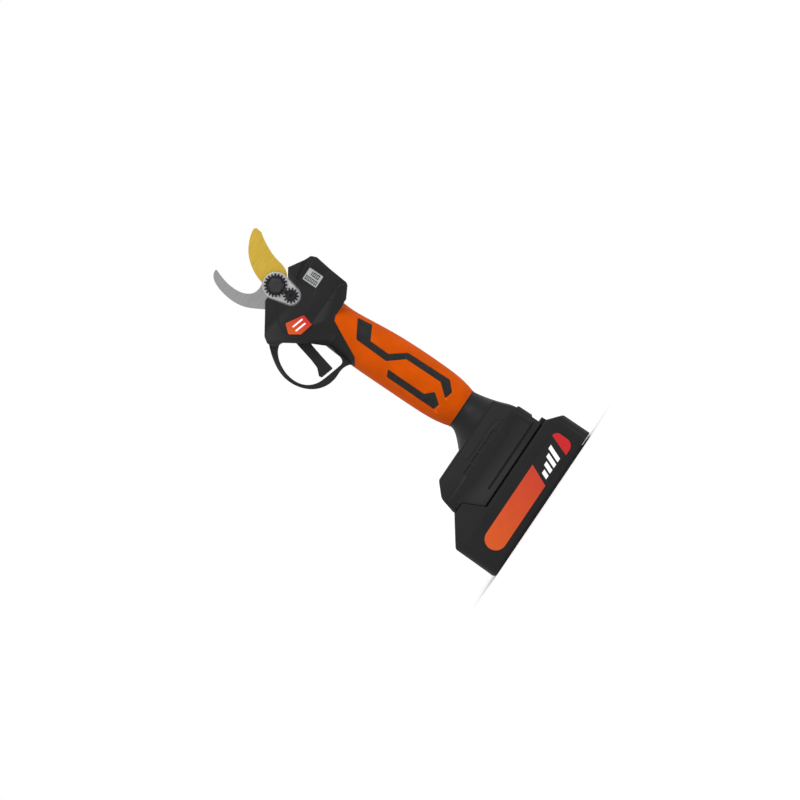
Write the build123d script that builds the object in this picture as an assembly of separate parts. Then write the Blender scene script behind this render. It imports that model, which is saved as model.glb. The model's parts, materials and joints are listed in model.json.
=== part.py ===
"""Battery electric pruner, standing on its slide-on battery pack.

Units are millimetres. The origin is the middle of the pack's bottom face, +Z runs up along the
handle to the blades, -X is the trigger side and -Y is the side that carries the display and the
blade nut. "Left" parts are on -Y and "right" parts on +Y. Each sub-part is one STEP in parts/.
"""

import math
import os

from build123d import *

# ---------------------------------------------------------------- driving dimensions
# battery pack
PACK_HALF_LENGTH = 62.2
PACK_HALF_WIDTH = 37.0
PACK_TOP = 33.3  # deck that faces the tool
PACK_PART_LINE = 31.0  # where upper and lower case meet
PACK_WALL = 2.4
LATCH_TOP = 49.6  # top of the raised latch end
CELL_RADIUS = 9.2
CELL_LENGTH = 65.0
CELL_COUNT = 5
CELL_PITCH = 19.0
CELL_CENTRE_Z = 12.6

# slide rails between pack and foot
RAIL_NECK = 23.5  # half width of the pack's rail under its flange
RAIL_FLANGE = 28.2
RAIL_GAP = 0.5
FLANGE_BOTTOM = 37.7
FLANGE_TOP = 41.5
CHANNEL_TOP = 43.0
FOOT_BOTTOM = 34.8
FOOT_LEDGE = 50.1  # underside of the foot over the pack's raised latch end

# foot and handle
WALL = 2.2
FOOT_HALF_WIDTH = 34.0
GRIP_BOTTOM = 87.5

# head
HEAD_HALF_WIDTH = 21.0
PIVOT_X = 23.8
PIVOT_Z = 248.3
TRIGGER_X = 4.5
TRIGGER_Z = 218.0
GUARD_HALF_WIDTH = 6.5
TRIGGER_HALF_WIDTH = 5.8

# blade stack along Y, from the gear side to the nut side
SECTOR_BACK = -11.0  # face of the sector gear that carries the moving blade
BLADE_THICKNESS = 3.2
HOOK_THICKNESS = 3.8
PLATE_THICKNESS = 1.2
LOCK_GEAR_THICKNESS = 2.8
BLADE_FACE = SECTOR_BACK - BLADE_THICKNESS
HOOK_FACE = BLADE_FACE - HOOK_THICKNESS
PLATE_FACE = HOOK_FACE - PLATE_THICKNESS
GEAR_FACE = PLATE_FACE - LOCK_GEAR_THICKNESS
NUT_FACE = GEAR_FACE - 5.4
BOLT_RADIUS = 4.0
RUNNING = 0.05  # radial clearance of a shaft that turns in its hole

# lock gears on the blade nut
LOCK_MODULE = 0.8
NUT_TEETH = 20
PINION_TEETH = 13
LOCK_DISTANCE = LOCK_MODULE * (NUT_TEETH + PINION_TEETH) / 2 + 0.05
LOCK_Z = PIVOT_Z - LOCK_DISTANCE

# bevel drive: its cones meet on the pivot axis at Y = 0
BEVEL_MODULE = 1.0
BEVEL_PINION_TEETH = 12
BEVEL_GEAR_TEETH = 36
BEVEL_HEEL = BEVEL_MODULE * BEVEL_GEAR_TEETH / 2
BEVEL_TOE = 13.0
PINION_PITCH_RADIUS = BEVEL_MODULE * BEVEL_PINION_TEETH / 2
BLADE_TRAVEL = 56.0  # degrees from open to closed

# planetary gearbox and motor, on the drive axis through PIVOT_X
PLANET_MODULE = 0.5
SUN_TEETH = 12
PLANET_TEETH = 15
RING_TEETH = 42
PLANET_ORBIT = PLANET_MODULE * (SUN_TEETH + PLANET_TEETH) / 2
PLANET_ANGLES = (90, 210, 330)
GEARBOX_RADIUS = 12.9
GEARBOX_BOTTOM = 184.0
GEARBOX_TOP = 202.0
MOTOR_RADIUS = 13.4
MOTOR_BOTTOM = 128.0
MOTOR_TOP = 176.0

FAR = 400.0  # longer than anything here, for cutting tools

# handle sections: height, front edge, back edge, half width
HANDLE_SECTIONS = (
    (GRIP_BOTTOM, 9.9, 40.1, 14.7),
    (98.0, 7.5, 42.7, 17.0),
    (120.0, 6.3, 44.1, 18.4),
    (150.0, 6.3, 43.8, 18.4),
    (188.0, 7.4, 40.6, 18.0),
    (208.0, 9.0, 42.6, 18.0),
)

# neck sections, from inside the foot up to the grip
NECK_SECTIONS = (
    (54.0, -25.0, 48.4, 31.0),
    (64.0, -15.0, 46.0, 28.0),
    (71.0, -3.0, 43.6, 23.0),
    (77.0, 3.6, 42.0, 19.0),
    (82.0, 8.0, 40.9, 16.4),
    (GRIP_BOTTOM, 9.9, 40.1, 14.7),
)


# ---------------------------------------------------------------- helpers
def corner_arc(before, corner, after, radius):
    """The two tangent points and the middle of the arc that rounds a corner."""
    at = Vector(*corner)
    to_before = (Vector(*before) - at).normalized()
    to_after = (Vector(*after) - at).normalized()
    half = math.radians(to_before.get_angle(to_after)) / 2
    reach = radius / math.tan(half)
    centre = at + (to_before + to_after).normalized() * (radius / math.sin(half))
    middle = centre + (at - centre).normalized() * radius
    return at + to_before * reach, middle, at + to_after * reach


def outline(*corners):
    """A closed face from (x, y) or (x, y, radius) corners, with each given radius rounded."""
    flat = [c[:2] for c in corners]
    edges, last, first = [], None, None
    for i, c in enumerate(corners):
        before, after = flat[i - 1], flat[(i + 1) % len(flat)]
        if len(c) == 3:
            start, middle, end = corner_arc(before, flat[i], after, c[2])
        else:
            start = end = Vector(*flat[i])
        if last is not None:
            edges.append(Line(last, start))
        else:
            first = start
        if len(c) == 3:
            edges.append(ThreePointArc(start, middle, end))
        last = end
    edges.append(Line(last, first))
    return make_face(edges)


def prism(face, y_low, y_high):
    """A face drawn as (x, z) swept from y_low to y_high."""
    return extrude(Plane.XZ.offset(-y_high) * face, amount=y_high - y_low)


def tower(face, z_low, z_high):
    """A face drawn as (x, y) swept from z_low to z_high."""
    return extrude(Plane.XY.offset(z_low) * face, amount=z_high - z_low)


def disc(x, z, radius, y_low, y_high):
    """A round bar along Y."""
    return prism(Pos(x, z) * Circle(radius), y_low, y_high)


def rod(x, y, radius, z_low, z_high):
    """A round bar along Z."""
    return tower(Pos(x, y) * Circle(radius), z_low, z_high)


def block(x_low, x_high, y_low, y_high, z_low, z_high):
    size = (x_high - x_low, y_high - y_low, z_high - z_low)
    return Pos((x_low + x_high) / 2, (y_low + y_high) / 2, (z_low + z_high) / 2) * Box(*size)


def hexagon(x, z, across, y_low, y_high):
    """A hexagonal bar along Y with a flat at its foot."""
    flat_down = RegularPolygon(across / 2, 6, major_radius=False, rotation=30)
    return prism(Pos(x, z) * flat_down, y_low, y_high)


def oval(z, front, back, half_width):
    """An elliptical section at height z."""
    centre = Pos((front + back) / 2, 0)
    return Plane.XY.offset(z) * centre * Ellipse((back - front) / 2, half_width)


def solid_of(*bottom_and_top):
    """A flat-faced solid between two polygons with the same number of corners."""
    low, high = bottom_and_top
    faces = [Face(Wire.make_polygon(low)), Face(Wire.make_polygon(high))]
    count = len(low)
    for i in range(count):
        j = (i + 1) % count
        faces.append(Face(Wire.make_polygon([low[i], low[j], high[j], high[i]])))
    return Solid(Shell(faces))


# ---------------------------------------------------------------- gear teeth
PRESSURE = math.radians(20)


def involute(angle):
    return math.tan(angle) - angle


def gear_outline(module, teeth, phase, addendum=0.9, dedendum=1.2, backlash=0.05, steps=5):
    """Corner points of a spur gear with a tooth centred at phase degrees. Negative backlash
    gives the wider tooth that cuts the spaces of a ring gear."""
    pitch = module * teeth / 2
    base = pitch * math.cos(PRESSURE)
    tip, root = pitch + addendum * module, pitch - dedendum * module
    half_at_pitch = (math.pi * module / 2 - backlash) / (2 * pitch)
    flank = []
    for i in range(steps + 1):
        r = root + (tip - root) * i / steps
        roll = math.acos(min(1.0, base / r))
        flank.append((r, half_at_pitch + involute(PRESSURE) - involute(roll)))
    points = []
    for k in range(teeth):
        centre = math.radians(phase + 360 * k / teeth)
        for r, half in flank:
            points.append((r * math.cos(centre - half), r * math.sin(centre - half)))
        for r, half in reversed(flank):
            points.append((r * math.cos(centre + half), r * math.sin(centre + half)))
    return points


def spur(module, teeth, phase, **shape):
    return make_face(Polyline(*gear_outline(module, teeth, phase, **shape), close=True))


# ---------------------------------------------------------------- battery pack
def pack_outline(inset=0.0):
    """Side view of the pack without its rail, smaller all round by inset."""
    i = inset
    return outline(
        (-61.2 + i, 34.6 - i / 2, 1.2),
        (-62.2 + i, i, 3.0),
        (50.6, i, 1.0),
        (51.6, 1.7 + i, 0.5),
        (62.2 - i, 1.7 + i, 0.8),
        (62.2 - i, 24.2 - i / 3, 1.5),
        (52.6 - i / 3, 32.4 - i, 1.5),
        (48.0, PACK_TOP - i, 1.0),
        (-23.4 - i, PACK_TOP - i, 0.6),
        (-31.0 - i / 2, LATCH_TOP - i, 1.0),
        (-40.4 + i / 3, LATCH_TOP - i, 1.2),
    )


def pack_body(inset):
    """The pack's outside shape, or the shape of its hollow."""
    plan = RectangleRounded(
        2 * (PACK_HALF_LENGTH - inset), 2 * (PACK_HALF_WIDTH - inset), 9.0 - inset
    )
    side = prism(pack_outline(inset), -PACK_HALF_WIDTH, PACK_HALF_WIDTH)
    return side & tower(plan, -1, 60)


def pack_cases():
    outside = pack_body(0.0)
    bevel = 1.6
    for side in (-1, 1):
        rim = outline(
            (side * PACK_HALF_WIDTH, -1), (side * (PACK_HALF_WIDTH - bevel), -1),
            (side * (PACK_HALF_WIDTH - bevel), 0), (side * PACK_HALF_WIDTH, bevel * 1.6),
            (side * (PACK_HALF_WIDTH + 1), bevel * 1.6), (side * (PACK_HALF_WIDTH + 1), -1),
        )
        outside -= extrude(Plane.YZ.offset(-FAR / 2) * rim, amount=FAR)
    hollow = pack_body(PACK_WALL)
    case = outside - hollow
    lower = case & block(-80, 80, -50, 50, -5, PACK_PART_LINE)
    upper = case & block(-80, 80, -50, 50, PACK_PART_LINE, 60)
    rail_left, rail_right = -27.5, 46.0
    upper += block(rail_left + 3, 52.4, -RAIL_NECK, RAIL_NECK, PACK_TOP - 2, 36.2)
    upper += block(rail_left, rail_right, -RAIL_NECK, RAIL_NECK, 36.0, FLANGE_TOP)
    upper += block(rail_left, rail_right, -RAIL_FLANGE, RAIL_FLANGE, FLANGE_BOTTOM, FLANGE_TOP)
    upper += block(rail_left - 1, rail_left + 3, -RAIL_NECK, RAIL_NECK, FLANGE_TOP - 1, CHANNEL_TOP - 0.3)
    # pocket for the connector, the hollow under the rail, and the latch openings
    upper -= block(21.0, 60, -15.0, 15.0, 36.2, 50)
    upper -= block(-18.5, 40.0, -19.5, 19.5, 25, 34.0)
    upper -= block(*BUTTON_X_HOLE, -14.5, 14.5, 28, 60)
    upper -= block(*TONGUE_X_HOLE, -8.5, 8.5, 42, 60)
    upper += block(*SPRING_SHELF_X, -34.7, 34.7, PACK_PART_LINE, SPRING_SHELF_TOP)
    upper -= guide_ribs(RIB_GAP)
    for x, y in PACK_SCREWS:
        lower += rod(x, y, 3.2, 1.0, PACK_PART_LINE) & outside
        upper += rod(x, y, 3.2, PACK_PART_LINE, 38.0) & outside
    return lower - pack_screws(), upper - pack_screws()


def guide_ribs(gap):
    """Two ribs under the foot that lie in slots of the pack's raised end, or those slots with a gap."""
    drop = RIB_HEIGHT + gap
    side = outline(
        (-27.7 - drop, CHANNEL_TOP - gap), (-30.8 - drop, FOOT_LEDGE - drop),
        (RIB_START - gap, FOOT_LEDGE - drop), (RIB_START - gap, FOOT_LEDGE + 1),
        (-27.0, FOOT_LEDGE + 1), (-27.0, CHANNEL_TOP - gap),
    )
    ribs = None
    for y in (-RIB_Y, RIB_Y):
        rib = prism(side, y - RIB_HALF_WIDTH - gap, y + RIB_HALF_WIDTH + gap)
        ribs = rib if ribs is None else ribs + rib
    return ribs


RIB_HEIGHT = 0.8
RIB_GAP = 0.35
RIB_Y = 20.0
RIB_HALF_WIDTH = 2.5
RIB_START = -37.5
PACK_SCREWS = ((-54.0, -28.8), (-54.0, 28.8))
SPRING_SHELF_X = (-44.8, -36.0)
SPRING_SHELF_TOP = 32.8
BUTTON_X = (-57.4, -44.2)
BUTTON_X_HOLE = (-57.8, -43.8)
TONGUE_X = (-38.4, -34.2)
TONGUE_X_HOLE = (-38.9, -33.7)


def release_button():
    """Press pad that lies in the sloped end, with the arm and tongue that it moves."""
    slope = outline(
        (-61.2, 33.9), (-40.4, 48.9), (-40.4, 40.0), (-61.2, 25.0)
    )
    pad = prism(slope, -14.0, 14.0) & block(*BUTTON_X, -14.0, 14.0, 20, 60)
    for i in range(4):
        x = -55.0 + 3.0 * i
        pad -= prism(Pos(x, 33.9 + (x + 61.2) * 15.0 / 20.8 + 0.1) * Circle(0.7), -11.0, 11.0)
    arm = block(-50.0, TONGUE_X[1], -8.0, 8.0, 38.6, 42.0)
    tongue = block(*TONGUE_X, -8.0, 8.0, 38.6, LATCH_TOP - 0.4)
    return pad + arm + tongue


def pack_screws():
    screws = None
    for x, y in PACK_SCREWS:
        screw = rod(x, y, 1.4, 3.0, 36.0) + rod(x, y, 2.6, 0.6, 3.0)
        screws = screw if screws is None else screws + screw
    return screws


def coil_spring(radius, wire, turns, height):
    """A compression spring standing on Z = 0."""
    path = Helix(pitch=(height - 2 * wire) / turns, height=height - 2 * wire, radius=radius)
    start = path @ 0
    profile = Plane(origin=start, z_dir=path % 0) * Circle(wire)
    return Pos(0, 0, wire) * sweep(profile, path=path)


def battery_inside():
    """Cells, their frames, the board, the connector and the case screws."""
    parts = {}
    cells = None
    for i in range(CELL_COUNT):
        x = (i - (CELL_COUNT - 1) / 2) * CELL_PITCH
        half = CELL_LENGTH / 2
        cell = disc(x, CELL_CENTRE_Z, CELL_RADIUS, -half, half)
        cell += disc(x, CELL_CENTRE_Z, 2.8, half, half + 0.9)
        cells = cell if cells is None else cells + cell
    parts["battery_cells"] = cells
    frame_half_length = CELL_PITCH * CELL_COUNT / 2 + 1.2
    frames = None
    for side in (-1, 1):
        y_low, y_high = sorted((side * 22.0, side * 31.0))
        frame = block(-frame_half_length, frame_half_length, y_low, y_high, 2.6, 23.2)
        for i in range(CELL_COUNT):
            x = (i - (CELL_COUNT - 1) / 2) * CELL_PITCH
            frame -= disc(x, CELL_CENTRE_Z, CELL_RADIUS + 0.1, -40, 40)
        frames = frame if frames is None else frames + frame
    parts["cell_frames"] = frames
    board = block(-40, 38, -20, 20, 25.4, 27.0)
    for x, y, h in ((-20, -8, 2.2), (-6, 9, 1.6), (12, -10, 2.6), (28, 6, 1.8)):
        board += block(x, x + 7, y, y + 6, 27.0, 27.0 + h)
    parts["pack_board"] = board
    connector = block(21.3, 45.6, -14.7, 14.7, 36.3, FLANGE_TOP - 0.2)
    for y in CONTACT_YS:
        connector -= block(24.0, 60, y - 0.8, y + 0.8, 36.9, 50)
    parts["pack_connector"] = connector
    parts["pack_screws"] = pack_screws()
    return parts


CONTACT_YS = (-10.5, -3.5, 3.5, 10.5)


# ---------------------------------------------------------------- foot, neck and grip
def foot_block(inset=0.0):
    """The wide base of the tool, or the hollow inside it."""
    i = inset
    floor = FOOT_BOTTOM if inset == 0 else CHANNEL_TOP + WALL
    step = FOOT_LEDGE if inset == 0 else 52.8
    side = outline(
        (-23.7 + i, floor), (-30.8 + i, step), (-40.4 + i, step, 1.0), (-36.8 + i, 63.4 - i, 6.0),
        (-27.0 + i / 2, 72.3 - i, 4.0), (42.0 - i, 72.3 - i), (47.8 - i, 55.4), (49.6 - i, 54.6),
        (49.8 - i, 43.6), (48.5 - i, 42.4), (48.5 - i, floor),
    )
    front = outline(
        (-FOOT_HALF_WIDTH + i, 30), (FOOT_HALF_WIDTH - i, 30), (FOOT_HALF_WIDTH - i, 57.0, 12.0),
        (29.0 - i, 73 - i, 5.0), (-29.0 + i, 73 - i, 5.0), (-FOOT_HALF_WIDTH + i, 57.0, 12.0),
    )
    plan = Pos(4.7, 0) * RectangleRounded(2 * (45.3 - i), 2 * (FOOT_HALF_WIDTH - i), 8.0 - i)
    body = prism(side, -40, 40) & extrude(Plane.YZ.offset(-FAR / 2) * front, amount=FAR)
    return body & tower(plan, 30, 80)


def neck(inset=0.0):
    sections = [
        oval(z, front + inset, back - inset, half - inset)
        for z, front, back, half in NECK_SECTIONS
    ]
    return loft(sections)


def grip(inset=0.0):
    """The oval barrel of the handle, which runs on up inside the head."""
    sections = [
        oval(z, front + inset, back - inset, half - inset)
        for z, front, back, half in HANDLE_SECTIONS
    ]
    return loft(sections)


def foot_shells():
    hollow = foot_block(WALL) + neck(WALL)
    shell = foot_block() + neck() - hollow + guide_ribs(0)
    # channel that slides over the pack's rail, and the terminal opening in its roof
    channel_half = RAIL_FLANGE + RAIL_GAP
    neck_half = RAIL_NECK + RAIL_GAP
    channel_end = 46.5
    shell -= block(-60, channel_end, -channel_half, channel_half, FLANGE_BOTTOM - RAIL_GAP, CHANNEL_TOP)
    shell -= block(-60, 60, -neck_half, neck_half, 30, FLANGE_BOTTOM)
    shell -= block(*TERMINAL_X, -TERMINAL_HALF, TERMINAL_HALF, CHANNEL_TOP - 1, 48)
    # four shallow marks on each side, and the groove above the rail
    under_skin = foot_block(MARK_DEPTH)
    for i in range(MARK_COUNT):
        x = MARK_START + MARK_PITCH * i
        shell -= block(x, x + MARK_LENGTH, -FAR, FAR, *MARK_HEIGHTS) - under_skin
    groove = block(*GROOVE_X, -FAR, FAR, *GROOVE_Z)
    shell -= groove - block(*GROOVE_X, -GROOVE_FLOOR, GROOVE_FLOOR, *GROOVE_Z)
    shell = shell + foot_bosses() - foot_screw_holes()
    shell -= Pos(*POWER_CENTRE) * Rot(90, 0, 0) * Cylinder(POWER_RADIUS + 0.3, 12)
    return halves(shell)


MARK_COUNT = 4
MARK_START = -13.5
MARK_PITCH = 10.2
MARK_LENGTH = 8.6
MARK_HEIGHTS = (57.4, 60.8)
MARK_DEPTH = 0.8
GROOVE_X = (-12.0, 46.0)
GROOVE_Z = (38.7, 40.4)
GROOVE_FLOOR = FOOT_HALF_WIDTH - 1.3
TERMINAL_X = (22.0, 46.2)
TERMINAL_HALF = 15.0
POWER_RADIUS = 5.0
POWER_CENTRE = (-22.0, 32.0, 58.0)
FOOT_SCREWS = ((-31.0, 57.5), (41.0, 60.5))
HANDLE_SCREWS = ((11.6, 112.0), (38.6, 112.0))
HEAD_SCREWS = ((-6.5, 231.0), (49.0, 213.0))
SCREW_RADIUS = 1.5
SCREW_HEAD_RADIUS = 2.9
BOSS_RADIUS = 3.3


def halves(shell):
    left = shell & block(-FAR / 2, FAR / 2, -60, 0, -10, FAR)
    right = shell & block(-FAR / 2, FAR / 2, 0, 60, -10, FAR)
    return left, right


def screw_at(x, z, head_y, length):
    """A pan-head screw along Y, its head on the +Y side."""
    screw = disc(x, z, SCREW_RADIUS, head_y - length, head_y)
    return screw + disc(x, z, SCREW_HEAD_RADIUS, head_y - 1.0, head_y + 0.8) - hexagon(
        x, z, 2.4, head_y - 0.6, head_y + 1
    )


def screw_hole(x, z, head_y, length):
    hole = disc(x, z, SCREW_RADIUS, head_y - length, head_y)
    return hole + disc(x, z, SCREW_HEAD_RADIUS, head_y - 1.0, FAR)


FOOT_SCREW_Y = 29.0
HANDLE_SCREW_Y = 11.6
HEAD_SCREW_Y = 18.2
FOOT_SCREW_LENGTH = 50.0
HANDLE_SCREW_LENGTH = 20.0
HEAD_SCREW_LENGTH = 30.0


def foot_bosses():
    bosses = None
    for x, z in FOOT_SCREWS:
        boss = disc(x, z, BOSS_RADIUS, -40, 40) & foot_block()
        bosses = boss if bosses is None else bosses + boss
    return bosses


def foot_screw_holes():
    holes = [screw_hole(x, z, FOOT_SCREW_Y, FOOT_SCREW_LENGTH) for x, z in FOOT_SCREWS]
    return holes[0] + holes[1]


# orange cover's upper edge, from the guard up to the back of the head
COVER_EDGE = (
    (6.0, 168.2), (12.7, 173.4), (17.3, 182.5), (21.8, 191.5), (26.0, 199.8), (29.5, 201.3),
    (43.0, 201.0),
)


def cover_region():
    """Side view of everything below the cover's upper edge."""
    return make_face(
        Polyline((-60, 168.2), *COVER_EDGE, (80, 201.0), (80, GRIP_BOTTOM), (-60, GRIP_BOTTOM),
                 close=True)
    )


def long_inlay_face():
    return outline(
        (37.5, 186.4, 0.6), (23.9, 178.4, 1.0), (23.0, 152.0, 1.5), (32.3, 140.6, 1.5),
        (32.5, 111.1, 1.0), (24.6, 101.6, 0.6), (31.0, 100.0, 0.6), (37.5, 106.2, 1.0),
        (36.8, 142.0, 2.0), (28.2, 153.4, 2.0), (28.6, 169.3, 1.0), (39.0, 174.9, 0.6),
    )


def short_inlay_face():
    return outline(
        (18.9, 147.5, 0.6), (13.8, 145.1, 0.6), (13.5, 104.2, 0.6), (18.2, 102.8, 0.6),
        (24.2, 110.4, 0.8), (18.7, 116.1, 1.0),
    )


INLAY_DEPTH = 1.2


def grip_shells():
    outside = grip()
    region = prism(cover_region(), -40, 40)
    shell = (outside - grip(WALL)) & region
    skin = outside - grip(INLAY_DEPTH)
    inlay_zone = prism(long_inlay_face(), -40, 40) + prism(short_inlay_face(), -40, 40)
    inlays = skin & inlay_zone
    shell -= inlays
    for x, z in HANDLE_SCREWS:
        boss = disc(x, z, BOSS_RADIUS, -40, 40) & grip(INLAY_DEPTH)
        shell += boss
        shell -= screw_hole(x, z, HANDLE_SCREW_Y, HANDLE_SCREW_LENGTH)
        inlays -= disc(x, z, SCREW_HEAD_RADIUS, 0, 40)
    return halves(shell), halves(inlays)


# ---------------------------------------------------------------- head
def head_outline(inset=0.0):
    i = inset
    return outline(
        (9.0 + i, 192.0), (7.6 + i, 195.0, 4.0), (3.2 + i, 204.0, 8.0), (-2.4 + i, 212.8, 20.0),
        (-8.0 + i, 221.8 + i, 3.0), (-13.8 + i, 223.6 + i, 2.0), (-14.4 + i, 230.0, 3.0),
        (-11.4 + i, 234.4 - i, 5.0), (10.4, 248.4 - i, 1.0), (39.4, 248.4 - i, 1.0),
        (50.6 - i, 241.4 - i, 1.0), (55.6 - i, 239.2 - i, 2.0), (57.2 - i, 235.0, 2.0),
        (55.4 - i, 222.0, 30.0), (54.0 - i, 206.4 + i, 3.4), (42.6 - i, 200.2 + i, 5.0),
        (41.5 - i, 192.0),
    )


def head_front(inset=0.0):
    """Front view of the head as (y, z), which narrows to the grip."""
    wide, slim = HEAD_HALF_WIDTH - inset, 17.4 - inset
    return outline(
        (-slim + 0.2, 190), (slim - 0.2, 190), (slim, 200, 10), (wide, 215, 12), (wide, 238, 8),
        (wide - 2.2, 252), (-wide + 2.2, 252), (-wide, 238, 8), (-wide, 215, 12), (-slim, 200, 10),
    )


def head_solid():
    body = prism(head_outline(), -30, 30)
    body &= extrude(Plane.YZ.offset(-FAR / 2) * head_front(), amount=FAR)
    return body - lower_facet(1) - lower_facet(-1)


FACET_START = (-8.0, 221.8)  # where the facet leaves the full width
FACET_SLOPE = (1.13, 1.05)  # width lost for each millimetre towards -X and -Z


def lower_facet(side, inset=0.0):
    """What lies outside the facet that slopes the head's lower front corner to the barrel."""
    outward = Vector(-FACET_SLOPE[0], side, -FACET_SLOPE[1]).normalized()
    start = Vector(FACET_START[0], side * HEAD_HALF_WIDTH, FACET_START[1]) - outward * inset
    return Location(Plane(origin=start, z_dir=outward)) * Pos(0, 0, FAR / 2) * Box(FAR, FAR, FAR)


GUARD_OUTER = (
    (-14.0, 229.0), (-22.5, 218.7), (-27.7, 207.0), (-28.0, 196.2), (-24.2, 185.8), (-16.7, 178.4),
    (-6.7, 175.4), (0.0, 175.2), (5.0, 173.2), (8.6, 168.4),
)
GUARD_INNER = (
    (9.8, 189.4), (8.0, 186.2), (6.9, 181.0), (4.6, 177.8), (1.0, 178.0), (-3.3, 179.2),
    (-10.0, 181.2), (-17.5, 184.2), (-23.4, 190.2),
    (-25.7, 198.8), (-24.6, 206.8), (-20.6, 215.0), (-15.0, 220.6), (-9.0, 222.6),
)


def guard():
    outer, inner = Spline(*GUARD_OUTER), Spline(*GUARD_INNER)
    band = make_face([outer, Line(outer @ 1, inner @ 0), inner, Line(inner @ 1, outer @ 0)])
    return prism(band, -GUARD_HALF_WIDTH, GUARD_HALF_WIDTH)


def teardrop(upper, lower):
    """Face around the blade nut and the lock gear."""
    tail = Pos(PIVOT_X, LOCK_Z) * Circle(lower)
    return make_hull((Pos(PIVOT_X, PIVOT_Z) * Circle(upper)).edges() + tail.edges())


DISPLAY_X = 43.3
DISPLAY_Z = 229.2
DISPLAY_SIZE = (12.2, 14.2)
DISPLAY_FACE = HEAD_HALF_WIDTH + 0.4


def display_box(grow, y_low, y_high):
    width, height = DISPLAY_SIZE
    plan = Pos(DISPLAY_X, DISPLAY_Z) * RectangleRounded(width + grow, height + grow, 1.2)
    return prism(plan, y_low, y_high)


def badge_plate():
    face = outline(
        (5.0, 227.2, 0.8), (17.4, 219.5, 0.8), (15.0, 210.8, 0.8), (4.5, 213.5, 0.8), (-0.4, 221.0, 0.8)
    )
    return prism(face, -HEAD_HALF_WIDTH - 0.6, -HEAD_HALF_WIDTH + 0.9)


def head_shells():
    outside = head_solid()
    above_cover = block(-60, 80, -40, 40, GRIP_BOTTOM, 210) - prism(cover_region(), -45, 45)
    outside += grip() & above_cover
    outside += guard()
    hollow = prism(head_outline(WALL), -HEAD_HALF_WIDTH + WALL, HEAD_HALF_WIDTH - WALL)
    hollow &= extrude(Plane.YZ.offset(-FAR / 2) * head_front(WALL), amount=FAR)
    hollow -= lower_facet(1, WALL)
    hollow -= lower_facet(-1, WALL)
    shell = outside - (hollow + grip(WALL)) + trigger_seat()
    shell -= prism(cover_region(), -45, 45) & (grip() + block(9, 60, -30, 30, 160, 201))
    # way out for both blades, slot for the trigger, and the nut's cut-out
    shell -= block(-1.0, 42.0, HOOK_FACE - 0.4, 13.0, 238.0, 260)
    shell -= block(13.0, 34.6, 12.0, 17.8, 238.0, 260)
    shell -= prism(outline((39.8, 248.4), (33.2, 244.3), (28.0, 250.0), (39.8, 250.0)), -40, 40)
    swing = TRIGGER_HALF_WIDTH + 0.5
    shell -= block(-16.0, 8.6, -swing, swing, 196.0, 217.0) - prism(guard_keep(), -30, 30)
    left, right = halves(shell)
    cut = prism(teardrop(10.5, 7.4), -40, HOOK_FACE)
    cut += block(PIVOT_X - 10.5, PIVOT_X + 10.5, -40, HOOK_FACE, PIVOT_Z, 260)
    left -= cut
    left -= display_box(0.0, -30, -15)
    left -= badge_plate()
    ledge = outline((35.6, 236.6), (36.2, 239.0), (51.4, 242.6), (51.6, 240.0))
    left -= prism(ledge, -30, -HEAD_HALF_WIDTH + 1.3)
    for x, z in HEAD_SCREWS:
        boss = disc(x, z, BOSS_RADIUS, -HEAD_HALF_WIDTH + 1, HEAD_HALF_WIDTH - 1)
        hole = screw_hole(x, z, HEAD_SCREW_Y, HEAD_SCREW_LENGTH)
        left += boss & block(-FAR, FAR, -40, 0, 0, FAR)
        right += boss & block(-FAR, FAR, 0, 40, 0, FAR)
        left -= hole
        right -= hole
    pin = disc(TRIGGER_X, TRIGGER_Z, TRIGGER_PIN_RADIUS, -TRIGGER_PIN_HALF, TRIGGER_PIN_HALF)
    for side in (-1, 1):
        y_low, y_high = sorted((side * (swing + 0.2), side * (HEAD_HALF_WIDTH - 1)))
        boss = disc(TRIGGER_X, TRIGGER_Z, 3.4, y_low, y_high) - pin
        if side < 0:
            left += boss
        else:
            right += boss
    return left, right


TRIGGER_PIN_RADIUS = 1.5
TRIGGER_PIN_HALF = 14.0


def guard_keep():
    """Side view of the guard's band, which the trigger slot must not cut."""
    return make_face(Polyline((-60, 196), (-19, 196), (-14.6, 223), (-60, 223), close=True))


# ---------------------------------------------------------------- trigger
def trigger():
    face = outline(
        (-2.6, 213.0, 4.0), (-4.4, 205.6, 20.0), (-6.5, 197.2, 30.0), (-8.7, 190.6, 5.0),
        (-13.2, 186.0, 1.0), (-12.6, 183.8, 0.8), (-2.8, 180.9, 0.8), (0.0, 192.6, 40.0),
        (2.9, 203.4, 12.0), (6.4, 209.0, 2.0), (6.6, 217.0, 1.0), (TRIGGER_X, 221.8, 1.5),
        (0.8, 219.0, 1.5),
    )
    body = prism(face, -TRIGGER_HALF_WIDTH, TRIGGER_HALF_WIDTH)
    return body - disc(TRIGGER_X, TRIGGER_Z, TRIGGER_PIN_RADIUS + RUNNING, -20, 20)


def trigger_spring():
    """Coil that pushes the trigger forward, lying along X between the trigger and its seat."""
    spring = coil_spring(1.8, 0.3, 5, 5.4)
    return Pos(6.9, 0, 209.6) * Rot(0, 90, 0) * spring


def trigger_seat():
    """Rib that backs the spring, as a part of the head's right shell."""
    return block(12.4, 13.6, -7.5, 16.0, 203.6, 214.0)


def trigger_sensor():
    """Small board with the magnetic sensor that reads the trigger."""
    return block(8.6, 12.2, 8.2, 9.4, 203.6, 213.6) + block(9.2, 11.6, 6.8, 8.2, 207.0, 210.6)


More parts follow.
